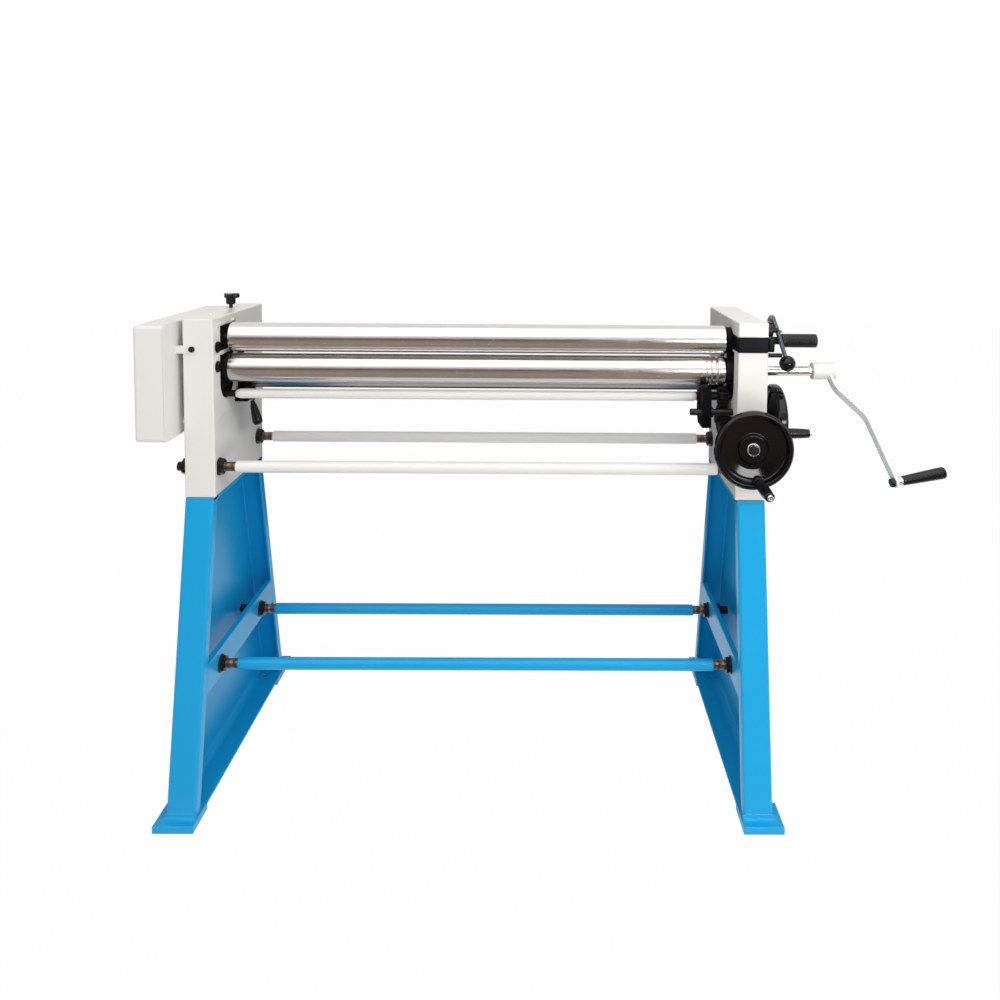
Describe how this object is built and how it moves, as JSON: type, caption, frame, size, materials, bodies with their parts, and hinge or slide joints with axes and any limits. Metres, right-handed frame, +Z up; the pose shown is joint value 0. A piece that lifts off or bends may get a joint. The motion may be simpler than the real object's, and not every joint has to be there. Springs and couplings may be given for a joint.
{
  "type": "slip roll machine",
  "caption": "Floor-standing hand slip roll for bending sheet metal: cranked front rolls, a lifting rear roll and a swing-out upper roll on a steel stand.",
  "frame": {"origin": "on the floor, midway between the two head frames and the four floor bolt holes", "axes": "+X to the crank end, -Y to the operator who feeds the sheet, +Z up"},
  "size_m": [1.9393, 0.776, 1.229],
  "materials": {
    "white_paint": "semi-gloss enamel",
    "blue_paint": "gloss enamel",
    "black_paint": "gloss enamel",
    "polished_steel": "ground and polished",
    "dark_steel": "oiled black oxide",
    "bright_steel": "zinc plated",
    "bronze": "plain bronze",
    "black_rubber": "ribbed",
    "black_plastic": "moulded"
  },
  "bodies": {
    "base": {"frame_left": "white_paint", "frame_right": "white_paint", "stand_left": "blue_paint", "stand_right": "blue_paint", "cross_bar_left": "blue_paint", "cross_bar_right": "blue_paint", "tie_rod_head_front": "white_paint", "tie_rod_head_rear": "white_paint", "tie_rod_stand_front": "blue_paint", "tie_rod_stand_rear": "blue_paint", "tie_nuts_head": "dark_steel", "tie_nuts_stand": "dark_steel", "frame_bolts": "dark_steel", "gear_back_plate": "white_paint", "gear_cover": "white_paint", "cover_screws": "dark_steel", "oil_cup": "bronze", "side_plugs": "dark_steel", "stop_pin": "bright_steel", "lift_covers": "black_paint", "wheel_flanges": "dark_steel", "sync_bracket": "black_paint", "bracket_stud": "bright_steel", "clamp_bracket": "black_paint"},
    "side_drive": {"side_wheel": "black_paint", "side_wheel_hardware": "bright_steel", "side_shaft": "polished_steel", "side_gear": "dark_steel"},
    "side_handle": {"side_grip": "black_plastic"},
    "sync": {"sync_shaft": "white_paint", "sync_gear": "dark_steel"},
    "front_drive": {"front_wheel": "black_paint", "front_wheel_hardware": "bright_steel", "front_shaft": "polished_steel"},
    "front_handle": {"front_grip": "black_plastic"},
    "screw_left": {"lift_screw_left": "polished_steel"},
    "screw_right": {"lift_screw_right": "polished_steel"},
    "cross": {"cross_shaft": "polished_steel"},
    "rear_slide": {"rear_block_left": "black_paint", "rear_block_right": "black_paint", "rear_bushes": "bronze"},
    "rear_spin": {"rear_roll": "polished_steel"},
    "lower_slide": {"lower_block_left": "dark_steel", "lower_block_right": "dark_steel", "lower_bushes": "bronze"},
    "lower_spin": {"lower_roll": "polished_steel", "lower_gear": "dark_steel", "crank": "white_paint", "crank_bolt": "dark_steel"},
    "crank_handle": {"crank_grip": "black_plastic"},
    "hub_spin": {"upper_gear": "dark_steel"},
    "swing": {"swing_block": "black_paint", "swing_bush": "bronze", "swing_grip": "black_rubber"},
    "upper_spin": {"upper_roll": "polished_steel"},
    "cam": {"cam_hub": "dark_steel", "lever_rod": "bright_steel", "lever_ball": "black_plastic"},
    "knob": {"star_knob": "black_plastic"},
    "clamp": {"clamp_lever": "black_plastic"}
  },
  "joints": [
    {"name": "side_wheel_turn", "type": "hinge", "parent": "base", "child": "side_drive", "pos_m": [0.75, -0.093, 0.9285], "axis": [1, 0, 0], "range_deg": [-36, 36]},
    {"name": "side_grip_turn", "type": "hinge", "parent": "side_drive", "child": "side_handle", "pos_m": [0.82, -0.033, 0.8765], "axis": [1, 0, 0], "continuous": true},
    {"name": "sync_turn", "type": "hinge", "parent": "base", "child": "sync", "pos_m": [0, -0.093, 0.988], "axis": [1, 0, 0], "range_deg": [-51.5, 51.5]},
    {"name": "lower_roll_lift", "type": "slide", "parent": "base", "child": "lower_slide", "axis": [0, 0, 1], "range_m": [-0.00353, 0.00353]},
    {"name": "crank_turn", "type": "hinge", "parent": "lower_slide", "child": "lower_spin", "pos_m": [0, -0.093, 1.056], "axis": [1, 0, 0], "continuous": true},
    {"name": "crank_grip_turn", "type": "hinge", "parent": "lower_spin", "child": "crank_handle", "pos_m": [1.001, -0.28519, 0.82695], "axis": [0.9804, 0.1268, 0.1511], "continuous": true},
    {"name": "hub_gear_turn", "type": "hinge", "parent": "base", "child": "hub_spin", "pos_m": [-0.7, -0.093, 1.134], "axis": [1, 0, 0], "continuous": true},
    {"name": "roll_swing", "type": "hinge", "parent": "base", "child": "swing", "pos_m": [-0.682, -0.093, 1.134], "axis": [0, 0, -1], "range_deg": [0, 8]},
    {"name": "upper_roll_turn", "type": "hinge", "parent": "swing", "child": "upper_spin", "pos_m": [0, -0.093, 1.134], "axis": [1, 0, 0], "continuous": true},
    {"name": "cam_lever_turn", "type": "hinge", "parent": "base", "child": "cam", "pos_m": [0.736, -0.153, 1.1696], "axis": [-1, 0, 0], "range_deg": [0, 160]},
    {"name": "front_wheel_turn", "type": "hinge", "parent": "base", "child": "front_drive", "pos_m": [0.674, -0.24, 0.889], "axis": [0, 1, 0], "range_deg": [0, 4320]},
    {"name": "front_grip_turn", "type": "hinge", "parent": "front_drive", "child": "front_handle", "pos_m": [0.686, -0.3, 0.81], "axis": [0, 1, 0], "continuous": true},
    {"name": "right_screw_turn", "type": "hinge", "parent": "base", "child": "screw_right", "pos_m": [0.674, 0.007, 1], "axis": [0, 0, 1], "range_deg": [0, 4321]},
    {"name": "cross_shaft_turn", "type": "hinge", "parent": "base", "child": "cross", "pos_m": [0, 0.007, 0.969], "axis": [1, 0, 0], "range_deg": [-4321, 0]},
    {"name": "left_screw_turn", "type": "hinge", "parent": "base", "child": "screw_left", "pos_m": [-0.674, 0.007, 1], "axis": [0, 0, 1], "range_deg": [-4321, 0]},
    {"name": "rear_roll_lift", "type": "slide", "parent": "base", "child": "rear_slide", "axis": [0, 0, 1], "range_m": [0, 0.06001]},
    {"name": "rear_roll_turn", "type": "hinge", "parent": "rear_slide", "child": "rear_spin", "pos_m": [0, 0.007, 1.0216], "axis": [1, 0, 0], "continuous": true},
    {"name": "star_knob_turn", "type": "hinge", "parent": "base", "child": "knob", "pos_m": [-0.692, 0.069, 1.2], "axis": [0, 0, 1], "range_deg": [0, 720]},
    {"name": "clamp_lever_turn", "type": "hinge", "parent": "base", "child": "clamp", "pos_m": [-0.606, -0.023, 0.965], "axis": [1, 0, 0], "range_deg": [-60, 60]}
  ],
  "couplings": [
    {"joint": "sync_turn", "follows": "side_wheel_turn", "ratio": -1.4286},
    {"joint": "lower_roll_lift", "follows": "side_wheel_turn", "m_per_rad": 0.0056023},
    {"joint": "hub_gear_turn", "follows": "crank_turn", "ratio": -1},
    {"joint": "upper_roll_turn", "follows": "crank_turn", "ratio": -1},
    {"joint": "cam_lever_turn", "follows": "roll_swing", "ratio": 20},
    {"joint": "right_screw_turn", "follows": "front_wheel_turn", "ratio": 1},
    {"joint": "cross_shaft_turn", "follows": "front_wheel_turn", "ratio": -1},
    {"joint": "left_screw_turn", "follows": "front_wheel_turn", "ratio": -1},
    {"joint": "rear_roll_lift", "follows": "front_wheel_turn", "m_per_rad": 0.00079577}
  ]
}
